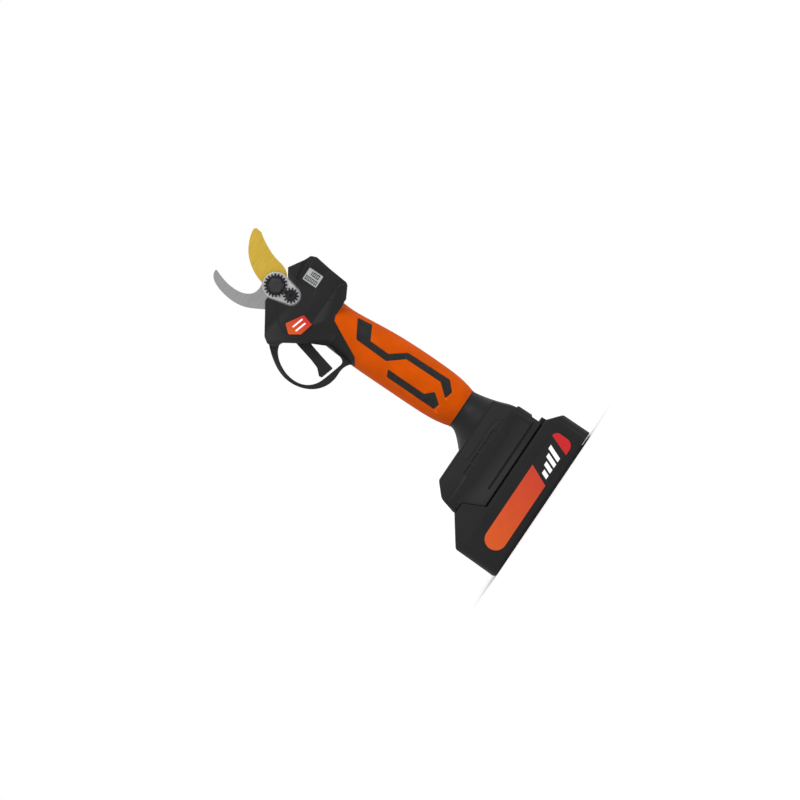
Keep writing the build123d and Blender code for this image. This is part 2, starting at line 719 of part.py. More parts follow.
# ---------------------------------------------------------------- blades
def hook_blade():
    edge = Spline(
        (20.0, 257.6), (14.0, 257.2), (10.2, 258.8), (6.6, 263.6), (5.2, 270.4), (5.6, 277.6),
        (7.2, 284.0), (9.3, 289.8),
    )
    back = Spline(
        (8.9, 290.5), (3.6, 288.8), (0.4, 284.2), (-1.9, 277.0), (-2.9, 268.6), (-1.9, 259.6),
        (1.7, 251.2), (6.0, 243.6),
    )
    tang = Polyline(
        back @ 1, (8.8, 235.0), (8.8, TANG_BOTTOM), (38.8, TANG_BOTTOM), (36.8, 228.0),
        (33.4, 240.0), (33.0, 250.0), (28.6, 255.8), edge @ 0,
    )
    face = make_face([edge, Line(edge @ 1, back @ 0), back, tang])
    blade = prism(face, HOOK_FACE, BLADE_FACE)
    blade -= disc(PIVOT_X, PIVOT_Z, BOLT_RADIUS + RUNNING, -40, 40)
    for x in TANG_SCREW_X:
        blade -= disc(x, TANG_SCREW_Z, 2.0, -40, 40)
    blade -= disc(PIVOT_X, LOCK_Z, 1.55, -40, 40)
    return blade


TANG_BOTTOM = 214.0
TANG_SCREW_X = (13.6, 33.6)
TANG_SCREW_Z = 220.0
BLADE_GAP = 0.1
DRIVE_PIN_RADIUS = 1.6
DRIVE_PINS = ((-9.2, -5.6), (-2.6, -9.6))  # from the pivot


def moving_blade():
    edge = Spline(
        (48.8, 284.4), (44.6, 283.8), (39.0, 281.8), (32.2, 277.8), (26.6, 272.0), (22.2, 264.6),
        (19.8, 257.4),
    )
    back = Spline(
        (32.2, 244.6), (37.9, 250.2), (40.2, 259.4), (43.4, 267.8), (49.8, 278.4)
    )
    heel = Polyline(edge @ 1, (14.2, 252.6), (11.6, 243.0), (15.0, 238.0), (24.0, 235.8), back @ 0)
    tip = Polyline(back @ 1, (50.3, 283.0), edge @ 0)
    face = make_face([edge, heel, back, tip])
    blade = prism(face, BLADE_FACE + BLADE_GAP, SECTOR_BACK)
    blade -= disc(PIVOT_X, PIVOT_Z, BOLT_RADIUS + RUNNING, -40, 40)
    for dx, dz in DRIVE_PINS:
        blade -= disc(PIVOT_X + dx, PIVOT_Z + dz, DRIVE_PIN_RADIUS, -40, 40)
    # ground bevel along the cutting edge, on the gear side
    wedge = Polyline(edge @ 1, (24.0, 256.0), (36.0, 275.4), (48.8, 282.6), edge @ 0)
    bevel = prism(make_face([edge, wedge]), SECTOR_BACK - 1.2, SECTOR_BACK + 1)
    return blade - bevel


def drive_pins():
    pins = None
    for dx, dz in DRIVE_PINS:
        pin = disc(PIVOT_X + dx, PIVOT_Z + dz, DRIVE_PIN_RADIUS, BLADE_FACE + 0.3, -7.2)
        pins = pin if pins is None else pins + pin
    return pins


# ---------------------------------------------------------------- bevel drive
CONE_HEEL = math.hypot(BEVEL_HEEL, PINION_PITCH_RADIUS)
PINION_CONE = math.atan2(PINION_PITCH_RADIUS, BEVEL_HEEL)
GEAR_CONE = math.pi / 2 - PINION_CONE
TOE_RATIO = BEVEL_TOE / BEVEL_HEEL
GEAR_ADDENDUM, GEAR_DEDENDUM = 0.7, 1.25
PINION_ADDENDUM, PINION_DEDENDUM = 1.0, 0.95
BEVEL_BACKLASH = 0.2


def pinion_half_thickness(height):
    """Half the tooth at a height above the pitch cone, as an involute of the virtual gear."""
    pitch = PINION_PITCH_RADIUS / math.cos(PINION_CONE)
    base = pitch * math.cos(PRESSURE)
    radius = pitch + height
    roll = math.acos(min(1.0, base / radius))
    at_pitch = (math.pi * BEVEL_MODULE / 2 - BEVEL_BACKLASH) / (2 * pitch)
    return radius * (at_pitch + involute(PRESSURE) - involute(roll))


def gear_half_thickness(height):
    return math.pi * BEVEL_MODULE / 4 - height * math.tan(PRESSURE) - BEVEL_BACKLASH / 4


def cone_point(distance, cone, turn):
    """A point at a distance from the apex, in the cone's own frame with its axis on +Z."""
    s = math.sin(cone)
    return Vector(
        distance * s * math.cos(turn), distance * s * math.sin(turn), distance * math.cos(cone)
    )


def bevel_tooth(cone, levels, thickness, turn):
    """One straight tooth as a stack of slices that all taper to the apex."""
    tooth = None
    for low, high in zip(levels, levels[1:]):
        section = []
        for height, side in ((low, -1), (high, -1), (high, 1), (low, 1)):
            angle = cone + height / CONE_HEEL
            swing = side * thickness(height) / (CONE_HEEL * math.sin(angle))
            section.append(cone_point(CONE_HEEL, angle, turn + swing))
        piece = solid_of([p * TOE_RATIO for p in section], section)
        tooth = piece if tooth is None else tooth + piece
    return tooth


def bevel_pinion():
    """Pinion and its shaft, on the drive axis below the pivot."""
    root_angle = PINION_CONE - PINION_DEDENDUM / CONE_HEEL
    heel, toe = CONE_HEEL * math.cos(root_angle), CONE_HEEL * TOE_RATIO * math.cos(root_angle)
    wide, narrow = heel * math.tan(root_angle), toe * math.tan(root_angle)
    levels = (-PINION_DEDENDUM - 0.3, -0.4, 0.0, 0.5, PINION_ADDENDUM)
    body = Pos(0, 0, (heel + toe) / 2) * Cone(narrow, wide, heel - toe)
    for k in range(BEVEL_PINION_TEETH):
        # a tooth faces the gear at rest
        turn = math.pi / 2 + 2 * math.pi * k / BEVEL_PINION_TEETH
        body += bevel_tooth(PINION_CONE, levels, pinion_half_thickness, turn)
    body = Pos(PIVOT_X, 0, PIVOT_Z) * Rot(180, 0, 0) * body
    top = PIVOT_Z - heel
    body += rod(PIVOT_X, 0, PINION_HUB_RADIUS, top - 1.6, top)
    return body + rod(PIVOT_X, 0, SHAFT_RADIUS, GEARBOX_TOP - 1.0, top)


PINION_HUB_RADIUS = 5.0
SHAFT_RADIUS = 3.0


def sector_gear():
    """Bevel sector bolted to the moving blade: teeth face the pinion, a hub runs on the bolt."""
    levels = (-GEAR_DEDENDUM - 0.3, 0.0, GEAR_ADDENDUM)
    pitch = 2 * math.pi / BEVEL_GEAR_TEETH
    teeth = None
    # at rest the pinion meets the gap between tooth 0 and tooth -1, and closing uses up the rest
    for k in range(-7, 2):
        turn = (k + 0.5) * pitch
        tooth = bevel_tooth(GEAR_CONE, levels, gear_half_thickness, turn)
        teeth = tooth if teeth is None else teeth + tooth
    root_angle = GEAR_CONE - GEAR_DEDENDUM / CONE_HEEL
    low_radius = CONE_HEEL * TOE_RATIO * math.sin(root_angle)
    high_radius = CONE_HEEL * math.sin(root_angle)
    low_height = CONE_HEEL * TOE_RATIO * math.cos(root_angle)
    high_height = CONE_HEEL * math.cos(root_angle)
    depth = -SECTOR_BACK
    rim = make_face(Polyline(
        (7.0, low_height), (low_radius, low_height), (high_radius, high_height),
        (high_radius, depth), (7.0, depth), close=True,
    ))
    wheel = revolve(Plane.XZ * rim, Axis.Z)
    start = 2.3 * pitch - math.radians(SECTOR_ANGLE)
    wedge = Polyline(
        (0, 0), (40 * math.cos(start), 40 * math.sin(start)),
        (40 * math.cos(start + math.radians(SECTOR_ANGLE / 2)),
         40 * math.sin(start + math.radians(SECTOR_ANGLE / 2))),
        (40 * math.cos(start + math.radians(SECTOR_ANGLE)),
         40 * math.sin(start + math.radians(SECTOR_ANGLE))),
        close=True,
    )
    body = (wheel & extrude(make_face(wedge), amount=30)) + teeth
    body += Pos(0, 0, (HUB_FRONT + depth) / 2) * Cylinder(HUB_RADIUS, depth - HUB_FRONT)
    # turn the gear's axis onto -Y, its zero direction onto -Z, and its teeth towards -X
    body = Location(Plane(origin=(PIVOT_X, 0, PIVOT_Z), x_dir=(0, 0, -1), z_dir=(0, -1, 0))) * body
    body -= disc(PIVOT_X, PIVOT_Z, BOLT_RADIUS + RUNNING, -40, 40)
    return body - drive_pins()


SECTOR_ANGLE = 92.0
HUB_RADIUS = 9.4
HUB_FRONT = 4.3


def gear_housing():
    """Light alloy frame that holds the pivot, the fixed blade and the pinion's bearings."""
    base = block(14.4, 38.4, -10.6, 11.0, HOUSING_BOTTOM, 227.4)
    base += block(8.8, 38.4, -10.6, 11.0, TANG_BOTTOM + 0.6, 227.4)
    base += block(8.8, 38.4, BLADE_FACE, -10.0, TANG_BOTTOM + 0.6, 226.6)
    back = outline(
        (8.8, 220.0), (8.2, 237.0, 4.0), (PIVOT_X - 8.6, 247.4), (PIVOT_X - 8.6, 256.6, 7.0),
        (PIVOT_X + 8.6, 256.6, 7.0), (PIVOT_X + 8.6, 243.4), (39.4, 237.0, 3.0), (38.4, 220.0),
    )
    base += prism(back, 8.2, 12.6)
    base += disc(PIVOT_X, PIVOT_Z, HUB_RADIUS, -HUB_FRONT + 0.1, 9.0)
    base -= disc(PIVOT_X, PIVOT_Z, BOLT_RADIUS + RUNNING, -40, 40)
    base -= rod(PIVOT_X, 0, BEARING_RADIUS, HOUSING_BOTTOM - 1, HOUSING_BOTTOM + 2 * BEARING_WIDTH)
    base -= rod(PIVOT_X, 0, PINION_HUB_RADIUS + 2.4, 225.4, 240.0)
    base -= rod(PIVOT_X, 0, SHAFT_RADIUS + 0.6, HOUSING_BOTTOM - 1, 240.0)
    for x in TANG_SCREW_X:
        base -= disc(x, TANG_SCREW_Z, 1.6, -40, -8.0)
    return base


HOUSING_BOTTOM = 206.0
BEARING_RADIUS = 8.0
BEARING_WIDTH = 5.0


def bearing(x, y, z, bore, outer, width):
    """A ball bearing drawn as two rings with seven balls between, standing on height z."""
    middle = (bore + outer) / 2
    ball = (outer - bore) * 0.22
    rings = rod(x, y, outer, z, z + width) - rod(x, y, middle + ball, z - 1, z + width + 1)
    rings += rod(x, y, middle - ball, z, z + width) - rod(x, y, bore, z - 1, z + width + 1)
    count = 7
    for k in range(count):
        turn = math.radians(360 * k / count)
        centre = (x + middle * math.cos(turn), y + middle * math.sin(turn), z + width / 2)
        rings += Pos(*centre) * Sphere(ball - 0.05)
    return rings


def tang_screws():
    screws = None
    for x in TANG_SCREW_X:
        screw = disc(x, TANG_SCREW_Z, 1.6, HOOK_FACE, -8.4)
        screw += disc(x, TANG_SCREW_Z, 2.0, HOOK_FACE, BLADE_FACE)
        screws = screw if screws is None else screws + screw
    return screws


# ---------------------------------------------------------------- pivot bolt, nut and lock
def pivot_bolt():
    bolt = disc(PIVOT_X, PIVOT_Z, BOLT_RADIUS, NUT_FACE + NUT_CAP + 0.3, 12.6)
    return bolt + hexagon(PIVOT_X, PIVOT_Z, 13.0, 12.6, 17.4)


def pivot_nut():
    """Toothed nut with a closed hexagonal cap."""
    at = Pos(PIVOT_X, PIVOT_Z)
    nut = prism(at * spur(LOCK_MODULE, NUT_TEETH, -90), GEAR_FACE, PLATE_FACE)
    cap = hexagon(PIVOT_X, PIVOT_Z, NUT_ACROSS, NUT_FACE, GEAR_FACE)
    cone = Pos(PIVOT_X, (NUT_FACE + GEAR_FACE) / 2, PIVOT_Z) * Rot(90, 0, 0)
    barrel = Cylinder(NUT_ACROSS / 2 + 1.0, GEAR_FACE - NUT_FACE)
    cap &= cone * chamfer(barrel.edges().group_by(Axis.Z)[-1], 1.2)
    bore = disc(PIVOT_X, PIVOT_Z, BOLT_RADIUS + RUNNING, NUT_FACE + NUT_CAP, 0)
    return nut + cap - bore


NUT_ACROSS = 12.0
NUT_CAP = 1.6  # thickness of the closed end


def lock_gear():
    phase = 90 + 180 / PINION_TEETH
    face = Pos(PIVOT_X, LOCK_Z) * spur(LOCK_MODULE, PINION_TEETH, phase)
    gear = prism(face, GEAR_FACE, PLATE_FACE)
    gear -= disc(PIVOT_X, LOCK_Z, LOCK_HEAD_RADIUS + 0.1, -40, GEAR_FACE + 1.4)
    return gear - disc(PIVOT_X, LOCK_Z, 1.6, -40, 0)


LOCK_HEAD_RADIUS = 2.8


def lock_screw():
    screw = disc(PIVOT_X, LOCK_Z, 1.5, GEAR_FACE - 0.2, BLADE_FACE - 0.2)
    screw += disc(PIVOT_X, LOCK_Z, LOCK_HEAD_RADIUS, GEAR_FACE - 1.0, GEAR_FACE + 1.3)
    return screw - hexagon(PIVOT_X, LOCK_Z, 2.6, GEAR_FACE - 2.0, GEAR_FACE + 0.5)


def seat_plate():
    plate = prism(teardrop(9.8, 6.7), PLATE_FACE + 0.05, HOOK_FACE)
    plate -= disc(PIVOT_X, PIVOT_Z, BOLT_RADIUS + RUNNING, -40, 40)
    return plate - disc(PIVOT_X, LOCK_Z, 1.55, -40, 40)


# ---------------------------------------------------------------- gearbox and motor
STAGE_BOTTOM = 187.0
STAGE_TOP = 195.0


def planet_carrier():
    carrier = rod(PIVOT_X, 0, 9.2, 195.6, 199.6)
    for angle in PLANET_ANGLES:
        x = PIVOT_X + PLANET_ORBIT * math.cos(math.radians(angle))
        y = PLANET_ORBIT * math.sin(math.radians(angle))
        carrier += rod(x, y, 1.2, STAGE_BOTTOM - 0.4, 196.0)
    return carrier - rod(PIVOT_X, 0, SHAFT_RADIUS, 190, GEARBOX_TOP) + rod(
        PIVOT_X, 0, SHAFT_RADIUS, 198.0, GEARBOX_TOP - 1.0)


def planet(angle):
    x = PIVOT_X + PLANET_ORBIT * math.cos(math.radians(angle))
    y = PLANET_ORBIT * math.sin(math.radians(angle))
    phase = angle + 180 + 180 / PLANET_TEETH
    gear = tower(Pos(x, y) * spur(PLANET_MODULE, PLANET_TEETH, phase), STAGE_BOTTOM, STAGE_TOP)
    return gear - rod(x, y, 1.2 + RUNNING, 180, 200)


def ring_gear():
    cutter = spur(PLANET_MODULE, RING_TEETH, 90, addendum=1.2, dedendum=0.7, backlash=-0.05)
    ring = rod(PIVOT_X, 0, RING_OUTER, STAGE_BOTTOM, STAGE_TOP)
    return ring - tower(Pos(PIVOT_X, 0) * cutter, STAGE_BOTTOM - 1, STAGE_TOP + 1)


RING_OUTER = 11.9


def gearbox_case():
    case = rod(PIVOT_X, 0, GEARBOX_RADIUS, GEARBOX_BOTTOM, GEARBOX_TOP)
    case -= rod(PIVOT_X, 0, RING_OUTER, STAGE_BOTTOM - 1.4, GEARBOX_TOP - 2.0)
    case -= rod(PIVOT_X, 0, 4.0, GEARBOX_BOTTOM - 1, GEARBOX_TOP + 1)
    return case


def sun_gear():
    sun = tower(Pos(PIVOT_X, 0) * spur(PLANET_MODULE, SUN_TEETH, 90), STAGE_BOTTOM, STAGE_TOP - 0.4)
    return sun - rod(PIVOT_X, 0, 1.5, 180, 200)


def motor_parts():
    can = rod(PIVOT_X, 0, MOTOR_RADIUS, MOTOR_BOTTOM, MOTOR_TOP)
    can -= rod(PIVOT_X, 0, MOTOR_RADIUS - 1.2, MOTOR_BOTTOM + 1.6, MOTOR_TOP - 2.0)
    for z_low in (MOTOR_BOTTOM - 1, MOTOR_TOP - 3.0):
        can -= rod(PIVOT_X, 0, MOTOR_BEARING_OUTER, z_low, z_low + 4.0)
    can += rod(PIVOT_X, 0, 5.4, MOTOR_BOTTOM, MOTOR_BOTTOM + 4.0)
    can += rod(PIVOT_X, 0, 5.4, MOTOR_TOP - 4.0, MOTOR_TOP)
    can -= rod(PIVOT_X, 0, MOTOR_BEARING_OUTER, MOTOR_BOTTOM + 0.8, MOTOR_BOTTOM + 5)
    can -= rod(PIVOT_X, 0, MOTOR_BEARING_OUTER, MOTOR_TOP - 5, MOTOR_TOP - 0.8)
    can -= rod(PIVOT_X, 0, 2.4, MOTOR_BOTTOM - 1, MOTOR_TOP + 1)
    low, high = MOTOR_BOTTOM + 8.0, MOTOR_TOP - 8.0
    stator = rod(PIVOT_X, 0, MOTOR_RADIUS - 1.2, low, high) - rod(PIVOT_X, 0, 6.4, low - 1, high + 1)
    for k in range(6):
        turn = math.radians(60 * k + 30)
        x, y = PIVOT_X + 9.0 * math.cos(turn), 9.0 * math.sin(turn)
        stator -= rod(x, y, 1.5, low - 1, high + 1)
    rotor = rod(PIVOT_X, 0, 6.0, low + 1, high - 1)
    rotor += rod(PIVOT_X, 0, 1.5, MOTOR_BOTTOM + 0.9, STAGE_TOP - 0.6)
    bearings = bearing(PIVOT_X, 0, MOTOR_BOTTOM + 1.0, 1.5 + RUNNING, MOTOR_BEARING_OUTER, 3.0)
    bearings += bearing(PIVOT_X, 0, MOTOR_TOP - 4.0, 1.5 + RUNNING, MOTOR_BEARING_OUTER, 3.0)
    return {"motor_can": can, "motor_stator": stator, "motor_rotor": rotor, "motor_bearings": bearings}


MOTOR_BEARING_OUTER = 4.2


def motor_mount():
    """Sleeve that centres the motor on the gearbox."""
    sleeve = rod(PIVOT_X, 0, GEARBOX_RADIUS, MOTOR_TOP, GEARBOX_BOTTOM)
    return sleeve - rod(PIVOT_X, 0, GEARBOX_RADIUS - 2.4, MOTOR_TOP - 1, GEARBOX_BOTTOM + 1)


def shaft_bearings():
    low = bearing(PIVOT_X, 0, HOUSING_BOTTOM, SHAFT_RADIUS + RUNNING, BEARING_RADIUS, BEARING_WIDTH)
    return low + bearing(
        PIVOT_X, 0, HOUSING_BOTTOM + BEARING_WIDTH, SHAFT_RADIUS + RUNNING, BEARING_RADIUS, BEARING_WIDTH
    )


# ---------------------------------------------------------------- electrics of the tool
def control_board():
    board = block(16.0, 34.0, -0.8, 0.8, 92.0, 124.0)
    for k in range(6):
        x = 16.6 + 6.0 * (k % 3)
        z = 110.0 + 7.0 * (k // 3)
        board += block(x, x + 5, -2.6, -0.8, z, z + 5.6)
    board += rod(20.0, 5.0, 4.0, 94.0, 106.0) + block(17.0, 23.0, 0.8, 1.6, 96.0, 104.0)
    return board + rod(30.0, 5.0, 4.0, 94.0, 106.0) + block(27.0, 33.0, 0.8, 1.6, 96.0, 104.0)


def terminal_block():
    low = CHANNEL_TOP - 0.2
    body = block(TERMINAL_X[0] + 0.1, TERMINAL_X[1] - 0.1, -14.9, 14.9, low, 52.0)
    contacts = None
    for y in CONTACT_YS:
        contact = block(26.0, 44.4, y - 0.5, y + 0.5, 37.3, 49.0)
        body -= contact
        contacts = contact if contacts is None else contacts + contact
    return body, contacts


def wiring():
    wires = rod(30.0, -3.0, 1.1, 52.0, 92.0) + rod(30.0, 4.0, 1.1, 52.0, 94.0)
    for x in (18.0, 24.0, 30.0):
        wires += rod(x, 0.0, 0.8, 124.0, MOTOR_BOTTOM)
    return wires


def display_parts():
    """Frame, glass and module of the display, in the left head shell."""
    width, height = DISPLAY_SIZE
    glass_size = Pos(DISPLAY_X, DISPLAY_Z) * RectangleRounded(width - 2.4, height - 2.4, 0.6)
    bezel = display_box(0.0, -DISPLAY_FACE, -HEAD_HALF_WIDTH + WALL)
    bezel -= prism(glass_size, -30, -10)
    glass = prism(glass_size, -DISPLAY_FACE + 0.3, -DISPLAY_FACE + 1.3)
    module = prism(glass_size, -DISPLAY_FACE + 1.3, -15.6)
    return {"display_bezel": bezel, "display_glass": glass, "display_module": module}


def power_button():
    x, y, z = POWER_CENTRE
    button = disc(x, z, POWER_RADIUS, FOOT_HALF_WIDTH - 5.0, FOOT_HALF_WIDTH + 0.8)
    return button + disc(x, z, 2.0, FOOT_HALF_WIDTH - 7.0, FOOT_HALF_WIDTH - 5.0)


def power_switch():
    """Body of the switch that the power button presses."""
    x, y, z = POWER_CENTRE
    return block(x - 5, x + 5, 18.0, 25.0, z - 5, z + 5)


def case_screws():
    places = [(s, FOOT_SCREW_Y, FOOT_SCREW_LENGTH) for s in FOOT_SCREWS]
    places += [(s, HANDLE_SCREW_Y, HANDLE_SCREW_LENGTH) for s in HANDLE_SCREWS]
    places += [(s, HEAD_SCREW_Y, HEAD_SCREW_LENGTH) for s in HEAD_SCREWS]
    screws = None
    for (x, z), head_y, length in places:
        screw = screw_at(x, z, head_y, length)
        screws = screw if screws is None else screws + screw
    return screws


def pack_label():
    """Printed plate on each side of the pack."""
    stadium = Pos(1.0, 15.2) * SlotOverall(98.0, 16.4)
    face = prism(stadium, -PACK_HALF_WIDTH - 0.3, -PACK_HALF_WIDTH)
    return face + mirror(face, about=Plane.XZ)


# ---------------------------------------------------------------- write the parts
def build_parts():
    parts = {}
    parts["pack_lower_case"], parts["pack_upper_case"] = pack_cases()
    parts.update(battery_inside())
    parts["pack_label"] = pack_label()
    parts["pack_release"] = release_button()
    parts["release_spring"] = Pos(-40.4, 0, SPRING_SHELF_TOP + 0.05) * coil_spring(2.8, 0.4, 3, 5.6)
    parts["foot_left"], parts["foot_right"] = foot_shells()
    (left, right), (inlay_left, inlay_right) = grip_shells()
    parts["grip_left"], parts["grip_right"] = left, right
    parts["inlay_left"], parts["inlay_right"] = inlay_left, inlay_right
    parts["head_left"], parts["head_right"] = head_shells()
    parts["badge"] = badge_plate()
    parts.update(display_parts())
    parts["trigger"] = trigger()
    parts["trigger_pin"] = disc(
        TRIGGER_X, TRIGGER_Z, TRIGGER_PIN_RADIUS, -TRIGGER_PIN_HALF, TRIGGER_PIN_HALF
    )
    parts["trigger_spring"] = trigger_spring()
    parts["trigger_sensor"] = trigger_sensor()
    parts["fixed_blade"] = hook_blade()
    parts["moving_blade"] = moving_blade()
    parts["drive_pins"] = drive_pins()
    parts["sector_gear"] = sector_gear()
    parts["gear_housing"] = gear_housing()
    parts["bevel_pinion"] = bevel_pinion()
    parts["shaft_bearings"] = shaft_bearings()
    parts["tang_screws"] = tang_screws()
    parts["pivot_bolt"] = pivot_bolt()
    parts["pivot_nut"] = pivot_nut()
    parts["lock_gear"] = lock_gear()
    parts["lock_screw"] = lock_screw()
    parts["seat_plate"] = seat_plate()
    parts["planet_carrier"] = planet_carrier()
    for i, angle in enumerate(PLANET_ANGLES):
        parts[f"planet_gear_{i + 1}"] = planet(angle)
    parts["ring_gear"] = ring_gear()
    parts["gearbox_case"] = gearbox_case()
    parts["sun_gear"] = sun_gear()
    parts.update(motor_parts())
    parts["motor_mount"] = motor_mount()
    parts["control_board"] = control_board()
    parts["terminal_block"], parts["tool_contacts"] = terminal_block()
    parts["wiring"] = wiring()
    parts["power_button"] = power_button()
    parts["power_switch"] = power_switch()
    parts["case_screws"] = case_screws()
    return parts


os.makedirs("parts", exist_ok=True)
for name, shape in build_parts().items():
    export_step(shape, f"parts/{name}.step")
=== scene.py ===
import json
import math

import bmesh
import bpy
from mathutils import Matrix, Vector
from mathutils.bvhtree import BVHTree

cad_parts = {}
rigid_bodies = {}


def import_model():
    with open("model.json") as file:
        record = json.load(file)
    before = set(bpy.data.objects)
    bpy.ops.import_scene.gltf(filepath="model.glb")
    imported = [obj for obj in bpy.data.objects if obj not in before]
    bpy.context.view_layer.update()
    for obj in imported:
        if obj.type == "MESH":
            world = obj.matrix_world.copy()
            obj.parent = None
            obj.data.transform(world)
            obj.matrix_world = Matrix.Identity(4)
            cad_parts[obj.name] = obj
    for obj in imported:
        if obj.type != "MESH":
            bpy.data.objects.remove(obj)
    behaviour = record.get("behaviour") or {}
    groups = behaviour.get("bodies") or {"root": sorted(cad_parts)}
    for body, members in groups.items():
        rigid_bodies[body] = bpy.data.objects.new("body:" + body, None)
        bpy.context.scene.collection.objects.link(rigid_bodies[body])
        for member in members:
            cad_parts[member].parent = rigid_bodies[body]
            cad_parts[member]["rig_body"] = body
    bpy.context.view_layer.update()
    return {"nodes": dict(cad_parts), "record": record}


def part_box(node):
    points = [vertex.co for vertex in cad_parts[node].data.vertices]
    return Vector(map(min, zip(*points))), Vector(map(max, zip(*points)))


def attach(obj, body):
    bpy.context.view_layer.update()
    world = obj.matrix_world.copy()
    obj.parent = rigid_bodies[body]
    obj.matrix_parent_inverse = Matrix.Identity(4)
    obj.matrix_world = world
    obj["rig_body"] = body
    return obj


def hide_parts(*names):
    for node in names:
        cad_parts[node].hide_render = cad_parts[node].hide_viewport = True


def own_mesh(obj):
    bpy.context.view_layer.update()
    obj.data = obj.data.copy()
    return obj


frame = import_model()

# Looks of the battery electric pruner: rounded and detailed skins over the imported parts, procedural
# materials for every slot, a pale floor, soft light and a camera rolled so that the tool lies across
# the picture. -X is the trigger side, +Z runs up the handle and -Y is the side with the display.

MM = 0.001
ROLL = math.radians(56.0)  # how far the handle leans to the left of upright in the picture
VIEW_WIDTH = 576 * MM  # what the picture's width spans at the tool
VIEW_CENTRE = Vector((5.4, 0.0, 128.0)) * MM
NEAR_SIDE = 18 * MM  # the picture's scale holds this far in front of the middle plane
LENS = 400.0
SENSOR = 36.0
# the picture's own directions
RIGHT = Vector((math.cos(ROLL), 0.0, -math.sin(ROLL)))
UP = Vector((math.sin(ROLL), 0.0, math.cos(ROLL)))
BACK = RIGHT.cross(UP)  # from the tool to the camera

# ---------------------------------------------------------------- colours (linear)
BLACK = (0.0078, 0.0078, 0.0084)
RUBBER_BLACK = (0.0125, 0.0130, 0.0125)
ORANGE = (0.50, 0.066, 0.0005)
LABEL_ORANGE = (0.58, 0.085, 0.008)
LABEL_RED = (0.50, 0.038, 0.016)
SIGNAL_RED = (0.50, 0.012, 0.015)
GOLD = (0.57, 0.385, 0.056)
HOOK_GREY = (0.30, 0.30, 0.305)
PLATE_GREY = (0.48, 0.48, 0.485)
STEEL = (0.42, 0.42, 0.43)
OXIDE = (0.016, 0.016, 0.018)
# painted highlight: the lighter grey of the plate on the nut cap's face, standing for light on that face
NUT_HIGHLIGHT_GREY = (0.022, 0.022, 0.024)
ALLOY = (0.52, 0.53, 0.55)
COPPER = (0.62, 0.26, 0.12)
GLASS_GREY = (0.25, 0.257, 0.26)
WHITE = (0.76, 0.76, 0.76)
FLOOR_WHITE = (0.93, 0.93, 0.93)


# ---------------------------------------------------------------- material helpers
NOISE_RANGE = (0.3, 0.7)  # where nearly all of a noise texture's values lie
SPARK_GRAIN = 2600.0
RUBBED_EDGE = (0.53, 0.62)  # pointiness at which an edge starts to look worn, and is fully so


class Nodes:
    """A node material being built: its tree, its shader and the object coordinates."""

    def __init__(self, name, roughness, metallic=0.0, specular=0.5):
        self.material = bpy.data.materials.new(name)
        self.material.use_nodes = True
        self.tree = self.material.node_tree
        self.shader = self.tree.nodes["Principled BSDF"]
        self.shader.inputs["Roughness"].default_value = roughness
        self.shader.inputs["Metallic"].default_value = metallic
        self.shader.inputs["Specular IOR Level"].default_value = specular
        self.place = self.tree.nodes.new("ShaderNodeTexCoord").outputs["Object"]

    def add(self, kind, **inputs):
        node = self.tree.nodes.new(kind)
        for key, value in inputs.items():
            node.inputs[key].default_value = value
        return node

    def link(self, out, into):
        self.tree.links.new(out, into)

    def stretched(self, scale):
        node = self.add("ShaderNodeMapping", Scale=scale)
        self.link(self.place, node.inputs["Vector"])
        return node.outputs["Vector"]

    def noise(self, scale, detail=3.0, place=None):
        node = self.add("ShaderNodeTexNoise", Scale=scale, Detail=detail)
        self.link(place or self.place, node.inputs["Vector"])
        return node.outputs["Fac"]

    def spread(self, factor, low, high):
        """Maps a noise onto low to high."""
        node = self.tree.nodes.new("ShaderNodeMapRange")
        node.inputs["From Min"].default_value = NOISE_RANGE[0]
        node.inputs["From Max"].default_value = NOISE_RANGE[1]
        node.inputs["To Min"].default_value = low
        node.inputs["To Max"].default_value = high
        self.link(factor, node.inputs["Value"])
        return node.outputs["Result"]

    def mix(self, factor, first, second):
        node = self.tree.nodes.new("ShaderNodeMix")
        node.data_type = "RGBA"
        self.link(factor, node.inputs["Factor"])
        for socket, value in ((node.inputs[6], first), (node.inputs[7], second)):
            if isinstance(value, tuple):
                socket.default_value = (*value, 1.0)
            else:
                self.link(value, socket)
        return node.outputs[2]

    def colour(self, value):
        self.link(value, self.shader.inputs["Base Color"])

    def mottle(self, colour, amount, scale):
        """The colour with slow, faint lighter and darker patches."""
        dark = tuple(c * (1 - amount) for c in colour)
        light = tuple(min(1.0, c * (1 + amount)) for c in colour)
        return self.mix(self.spread(self.noise(scale), 0.0, 1.0), dark, light)

    def edges(self, colour, worn, share):
        """The worn colour along sharp edges, where handling rubs."""
        geometry = self.tree.nodes.new("ShaderNodeNewGeometry")
        edge = self.tree.nodes.new("ShaderNodeMapRange")
        edge.inputs["From Min"].default_value = RUBBED_EDGE[0]
        edge.inputs["From Max"].default_value = RUBBED_EDGE[1]
        edge.inputs["To Max"].default_value = share
        self.link(geometry.outputs["Pointiness"], edge.inputs["Value"])
        return self.mix(edge.outputs["Result"], colour, worn)

    def gloss(self, low, high, scale):
        self.link(self.spread(self.noise(scale), low, high), self.shader.inputs["Roughness"])

    def grain(self, height, strength, distance):
        node = self.add("ShaderNodeBump", Strength=strength, Distance=distance)
        self.link(height, node.inputs["Height"])
        self.link(node.outputs["Normal"], self.shader.inputs["Normal"])


def moulded(name, colour, roughness, grain=0.35, worn=None, specular=0.5):
    """Moulded plastic: fine spark grain, faint mottling and rubbed edges."""
    m = Nodes(name, roughness, specular=specular)
    base = m.mottle(colour, 0.10, 70.0)
    worn = worn or tuple(min(1.0, c * 1.8 + 0.01) for c in colour)
    m.colour(m.edges(base, worn, 0.5))
    m.gloss(roughness - 0.06, roughness + 0.06, 140.0)
    m.grain(m.noise(SPARK_GRAIN, 2.0), grain, 0.06 * MM)
    return m.material


